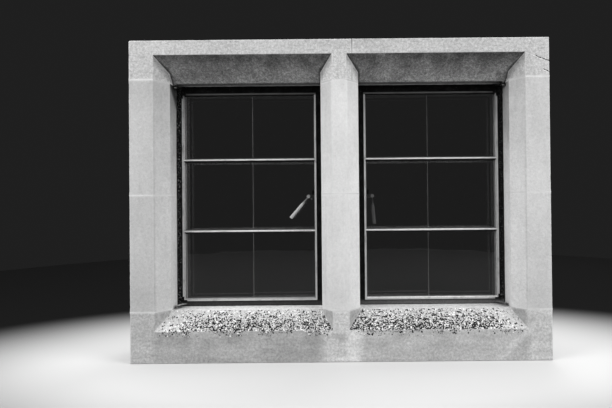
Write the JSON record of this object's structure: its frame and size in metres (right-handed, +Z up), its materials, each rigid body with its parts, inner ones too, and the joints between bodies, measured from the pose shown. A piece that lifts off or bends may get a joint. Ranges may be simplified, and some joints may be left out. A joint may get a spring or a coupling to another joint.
{
  "type": "mullioned casement window",
  "caption": "Dressed stone window surround with a splayed mullion and slope sill, holding steel side-hung casements with glazing bars, projecting hinges, handles and inner sliding glazing.",
  "frame": {"origin": "middle of the sill's flat underside, at mid depth of the stone", "axes": "+Z up, +X to the right as seen from outside, +Y towards the room; the outside face looks along -Y"},
  "size_m": [1.6528, 0.23, 1.268],
  "materials": {
    "limestone": "sawn, weathered",
    "lime_mortar": "struck flush",
    "frame_pointing": "painted over, dirty",
    "frame_paint": "worn gloss black",
    "casement_paint": "weathered pale grey",
    "hinge_steel": "dull",
    "zinc_steel": "zinc coated",
    "putty": "hard linseed putty, painted",
    "window_glass": "clear",
    "inner_glass": "clear, ground edges",
    "handle_metal": "white paint, rubbed",
    "track_metal": "white stoved enamel, dulled"
  },
  "bodies": {
    "surround": {"sill": "limestone", "head_left": "limestone", "head_right": "limestone", "jamb_left_lower": "limestone", "jamb_left_upper": "limestone", "mullion_lower": "limestone", "mullion_upper": "limestone", "jamb_right_lower": "limestone", "jamb_right_upper": "limestone", "mortar_lower_beds": "lime_mortar", "mortar_middle_beds": "lime_mortar", "mortar_head_beds": "lime_mortar", "mortar_head_joint": "lime_mortar", "fixed_frame_left": "frame_paint", "frame_bedding_left": "frame_pointing", "frame_lugs_left": "zinc_steel", "hinge_bracket_bottom_left": "frame_paint", "hinge_bracket_top_left": "frame_paint", "hinge_pins_left": "hinge_steel", "striker_plate_left": "handle_metal", "striker_screws_left": "handle_metal", "sliding_track_left": "track_metal", "fixed_frame_right": "frame_paint", "frame_bedding_right": "frame_pointing", "frame_lugs_right": "zinc_steel", "hinge_bracket_bottom_right": "frame_paint", "hinge_bracket_top_right": "frame_paint", "hinge_pins_right": "hinge_steel", "striker_plate_right": "handle_metal", "striker_screws_right": "handle_metal", "sliding_track_right": "track_metal"},
    "casement_left": {"casement_frame_left": "casement_paint", "glazing_bar_lower_left": "casement_paint", "glazing_bar_upper_left": "casement_paint", "putty_left": "putty", "glass_bottom_left": "window_glass", "glass_middle_left": "window_glass", "glass_top_left": "window_glass", "hinge_arm_bottom_left": "casement_paint", "hinge_arm_top_left": "casement_paint", "handle_plate_left": "handle_metal", "handle_pivot_left": "handle_metal"},
    "lever_left": {"handle_lever_left": "handle_metal"},
    "pane_front_left": {"sliding_pane_front_left": "inner_glass"},
    "pane_back_left": {"sliding_pane_back_left": "inner_glass"},
    "casement_right": {"casement_frame_right": "casement_paint", "glazing_bar_lower_right": "casement_paint", "glazing_bar_upper_right": "casement_paint", "putty_right": "putty", "glass_bottom_right": "window_glass", "glass_middle_right": "window_glass", "glass_top_right": "window_glass", "hinge_arm_bottom_right": "casement_paint", "hinge_arm_top_right": "casement_paint", "handle_plate_right": "handle_metal", "handle_pivot_right": "handle_metal"},
    "lever_right": {"handle_lever_right": "handle_metal"},
    "pane_front_right": {"sliding_pane_front_right": "inner_glass"},
    "pane_back_right": {"sliding_pane_back_right": "inner_glass"}
  },
  "joints": [
    {"name": "casement_swing_left", "type": "hinge", "parent": "surround", "child": "casement_left", "pos_m": [-0.6722, -0.032, 0.655], "axis": [0, 0, -1], "range_deg": [0, 90]},
    {"name": "lever_turn_left", "type": "hinge", "parent": "casement_left", "child": "lever_left", "pos_m": [-0.1347, 0.042, 0.65], "axis": [0, 1, 0], "range_deg": [-50, 45]},
    {"name": "pane_front_slide_left", "type": "slide", "parent": "surround", "child": "pane_front_left", "axis": [1, 0, 0], "range_m": [0, 0.285]},
    {"name": "pane_back_slide_left", "type": "slide", "parent": "surround", "child": "pane_back_left", "axis": [-1, 0, 0], "range_m": [0, 0.285]},
    {"name": "casement_swing_right", "type": "hinge", "parent": "surround", "child": "casement_right", "pos_m": [0.6722, -0.032, 0.655], "axis": [0, 0, 1], "range_deg": [0, 90]},
    {"name": "lever_turn_right", "type": "hinge", "parent": "casement_right", "child": "lever_right", "pos_m": [0.1347, 0.042, 0.65], "axis": [0, -1, 0], "range_deg": [-14, 81]},
    {"name": "pane_front_slide_right", "type": "slide", "parent": "surround", "child": "pane_front_right", "axis": [-1, 0, 0], "range_m": [0, 0.285]},
    {"name": "pane_back_slide_right", "type": "slide", "parent": "surround", "child": "pane_back_right", "axis": [1, 0, 0], "range_m": [0, 0.285]}
  ]
}
